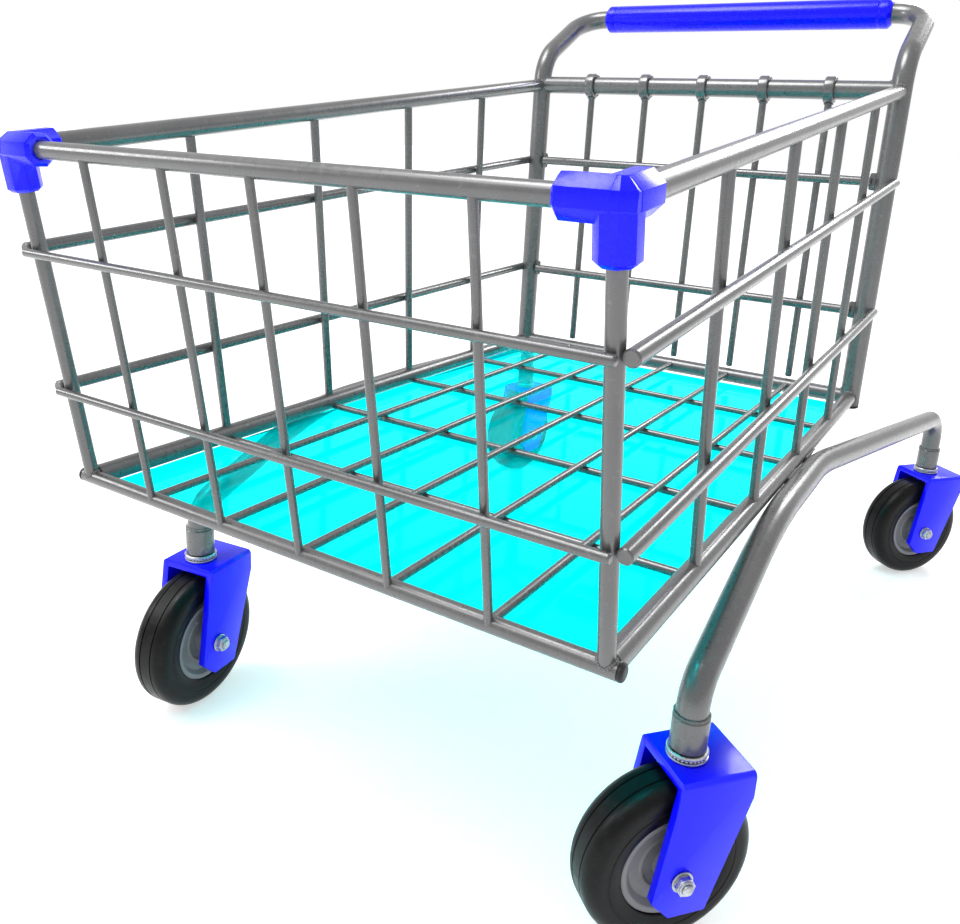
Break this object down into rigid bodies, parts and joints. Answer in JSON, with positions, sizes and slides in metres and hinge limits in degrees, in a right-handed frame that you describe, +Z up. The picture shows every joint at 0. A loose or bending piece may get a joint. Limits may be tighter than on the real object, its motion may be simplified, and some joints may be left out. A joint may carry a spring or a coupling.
{
  "type": "shopping cart",
  "caption": "Wire-basket shopping cart with a leaning front, a hinged rear gate, a push handle with a sleeve grip, bent tube legs and swivel casters.",
  "frame": {"origin": "on the ground, under the middle of the whole cart's box", "axes": "+Z up, the basket's front towards -Y, the push handle towards +Y, +X to the cart's right seen from the front"},
  "size_m": [0.8624, 1.2032, 0.894],
  "materials": {
    "frame_steel": "silver grey powder coat over steel tube, satin",
    "wire_steel": "silver grey powder coat over drawn steel wire, satin",
    "blue_plastic": "glossy moulded plastic, bright blue",
    "blue_paint": "glossy blue paint over pressed steel",
    "panel_plastic": "translucent cyan sheet, smooth",
    "tyre_rubber": "black rubber, slight sheen",
    "hub_plastic": "mid grey moulded plastic, satin",
    "zinc_steel": "bright zinc-plated steel",
    "plug_plastic": "black moulded plastic"
  },
  "bodies": {
    "frame": {"front_rim_rail": "frame_steel", "left_rim_rail": "frame_steel", "right_rim_rail": "frame_steel", "rear_rim_rail": "frame_steel", "left_front_post": "frame_steel", "right_front_post": "frame_steel", "left_corner_fitting": "blue_plastic", "right_corner_fitting": "blue_plastic", "front_floor_rail": "frame_steel", "left_floor_rail": "frame_steel", "right_floor_rail": "frame_steel", "rear_floor_rail": "frame_steel", "front_mid_rods": "wire_steel", "left_mid_rods": "wire_steel", "right_mid_rods": "wire_steel", "front_wires": "wire_steel", "left_wires": "wire_steel", "right_wires": "wire_steel", "floor_long_wires": "wire_steel", "floor_cross_wires": "wire_steel", "floor_panel": "panel_plastic", "handle_frame": "frame_steel", "grip": "blue_plastic", "end_plugs": "plug_plastic", "left_leg": "frame_steel", "right_leg": "frame_steel", "leg_sockets": "frame_steel", "gate_stops": "frame_steel", "front_left_stud": "zinc_steel", "front_left_race": "zinc_steel", "front_right_stud": "zinc_steel", "front_right_race": "zinc_steel", "rear_left_stud": "zinc_steel", "rear_left_race": "zinc_steel", "rear_right_stud": "zinc_steel", "rear_right_race": "zinc_steel"},
    "gate": {"gate_wires": "wire_steel", "gate_mid_rods": "wire_steel"},
    "front_left_caster": {"front_left_fork": "blue_paint", "front_left_axle": "zinc_steel", "front_left_nut": "zinc_steel"},
    "front_left_wheel": {"front_left_hub": "hub_plastic", "front_left_tyre": "tyre_rubber"},
    "front_right_caster": {"front_right_fork": "blue_paint", "front_right_axle": "zinc_steel", "front_right_nut": "zinc_steel"},
    "front_right_wheel": {"front_right_hub": "hub_plastic", "front_right_tyre": "tyre_rubber"},
    "rear_left_caster": {"rear_left_fork": "blue_paint", "rear_left_axle": "zinc_steel", "rear_left_nut": "zinc_steel"},
    "rear_left_wheel": {"rear_left_hub": "hub_plastic", "rear_left_tyre": "tyre_rubber"},
    "rear_right_caster": {"rear_right_fork": "blue_paint", "rear_right_axle": "zinc_steel", "rear_right_nut": "zinc_steel"},
    "rear_right_wheel": {"rear_right_hub": "hub_plastic", "rear_right_tyre": "tyre_rubber"}
  },
  "joints": [
    {"name": "gate_swing", "type": "hinge", "parent": "frame", "child": "gate", "pos_m": [0, 0.33025, 0.756], "axis": [-1, 0, 0], "range_deg": [0, 72]},
    {"name": "front_left_swivel", "type": "hinge", "parent": "frame", "child": "front_left_caster", "pos_m": [-0.29704, -0.39075, 0.17], "axis": [0, 0, 1], "continuous": true},
    {"name": "front_left_spin", "type": "hinge", "parent": "front_left_caster", "child": "front_left_wheel", "pos_m": [-0.29533, -0.40465, 0.08], "axis": [0.9925, 0.1219, 0], "continuous": true},
    {"name": "front_right_swivel", "type": "hinge", "parent": "frame", "child": "front_right_caster", "pos_m": [0.29704, -0.39075, 0.17], "axis": [0, 0, 1], "continuous": true},
    {"name": "front_right_spin", "type": "hinge", "parent": "front_right_caster", "child": "front_right_wheel", "pos_m": [0.28804, -0.40148, 0.08], "axis": [0.766, -0.6428, 0], "continuous": true},
    {"name": "rear_left_swivel", "type": "hinge", "parent": "frame", "child": "rear_left_caster", "pos_m": [-0.38, 0.53525, 0.17], "axis": [0, 0, 1], "continuous": true},
    {"name": "rear_left_spin", "type": "hinge", "parent": "rear_left_caster", "child": "rear_left_wheel", "pos_m": [-0.38243, 0.52146, 0.08], "axis": [0.9848, -0.1736, 0], "continuous": true},
    {"name": "rear_right_swivel", "type": "hinge", "parent": "frame", "child": "rear_right_caster", "pos_m": [0.38, 0.53525, 0.17], "axis": [0, 0, 1], "continuous": true},
    {"name": "rear_right_spin", "type": "hinge", "parent": "rear_right_caster", "child": "rear_right_wheel", "pos_m": [0.371, 0.52453, 0.08], "axis": [0.766, -0.6428, 0], "continuous": true}
  ]
}
